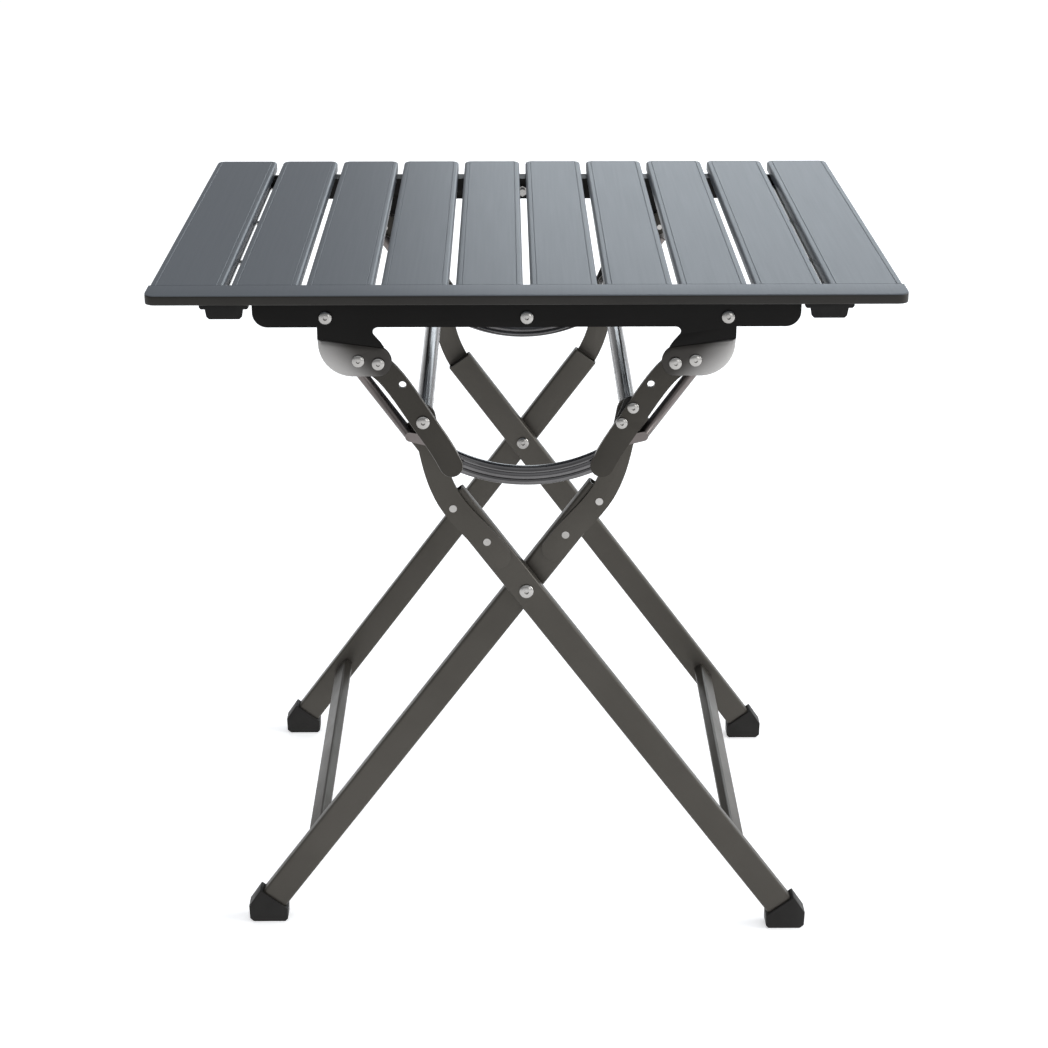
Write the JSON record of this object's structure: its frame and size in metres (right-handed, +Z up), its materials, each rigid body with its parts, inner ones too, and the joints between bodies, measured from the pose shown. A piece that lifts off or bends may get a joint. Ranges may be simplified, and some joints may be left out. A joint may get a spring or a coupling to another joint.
{
  "type": "folding side table",
  "caption": "Folding side table: a slatted metal top with a front rail on crossed tube legs, which fold up together under the top.",
  "frame": {"origin": "floor level, under the middle of the top", "axes": "+X to the right along the front rail, +Y to the rear along the slats, +Z up"},
  "size_m": [0.6, 0.486, 0.6],
  "materials": {
    "top_paint": "satin powder coat",
    "black_paint": "satin black",
    "leg_paint": "satin bronze-grey",
    "head_steel": "satin, pressed",
    "polished_tube": "polished",
    "bare_aluminium": "mill finish",
    "plastic": "moulded",
    "stainless": "bright"
  },
  "bodies": {
    "top": {"slat_1": "top_paint", "slat_2": "top_paint", "slat_3": "top_paint", "slat_4": "top_paint", "slat_5": "top_paint", "slat_6": "top_paint", "slat_7": "top_paint", "slat_8": "top_paint", "slat_9": "top_paint", "slat_10": "top_paint", "front_rail": "top_paint", "side_rail_left": "bare_aluminium", "side_rail_right": "bare_aluminium", "rail_caps": "plastic", "apron_front": "black_paint", "apron_rear": "black_paint", "slat_rivets": "stainless", "rail_rivets": "stainless", "arm_front_left": "leg_paint", "arm_front_right": "leg_paint", "arm_rear_left": "leg_paint", "arm_rear_right": "leg_paint", "head_plate_front_left": "head_steel", "head_plate_front_right": "head_steel", "head_plate_rear_left": "head_steel", "head_plate_rear_right": "head_steel", "brace_front_left": "polished_tube", "brace_front_right": "polished_tube", "brace_rear_left": "polished_tube", "brace_rear_right": "polished_tube", "bow_front": "polished_tube", "bow_rear": "polished_tube", "catch_front": "plastic", "catch_rear": "plastic", "apron_bolts": "stainless", "head_rivets": "stainless", "catch_bolts": "stainless", "knee_bolts": "stainless", "knee_spacers": "plastic"},
    "frame_b": {"leg_b_front": "leg_paint", "leg_b_rear": "leg_paint", "knee_plate_b_front": "leg_paint", "knee_plate_b_rear": "leg_paint", "cross_tube_b": "polished_tube", "stretcher_b": "leg_paint", "boot_b_front": "plastic", "boot_b_rear": "plastic", "plate_rivets_b": "stainless", "pivot_pins": "stainless", "pivot_washers": "plastic"},
    "frame_a": {"leg_a_front": "leg_paint", "leg_a_rear": "leg_paint", "knee_plate_a_front": "leg_paint", "knee_plate_a_rear": "leg_paint", "cross_tube_a": "polished_tube", "stretcher_a": "leg_paint", "boot_a_front": "plastic", "boot_a_rear": "plastic", "plate_rivets_a": "stainless"}
  },
  "joints": [
    {"name": "fold_b", "type": "hinge", "parent": "top", "child": "frame_b", "pos_m": [-0.084, 0, 0.487], "axis": [0, -1, 0], "range_deg": [0, 62]},
    {"name": "fold_a", "type": "hinge", "parent": "frame_b", "child": "frame_a", "pos_m": [0, 0, 0.33], "axis": [0, -1, 0], "range_deg": [0, 50]}
  ],
  "couplings": [
    {"joint": "fold_a", "follows": "fold_b", "ratio": 0.8}
  ]
}
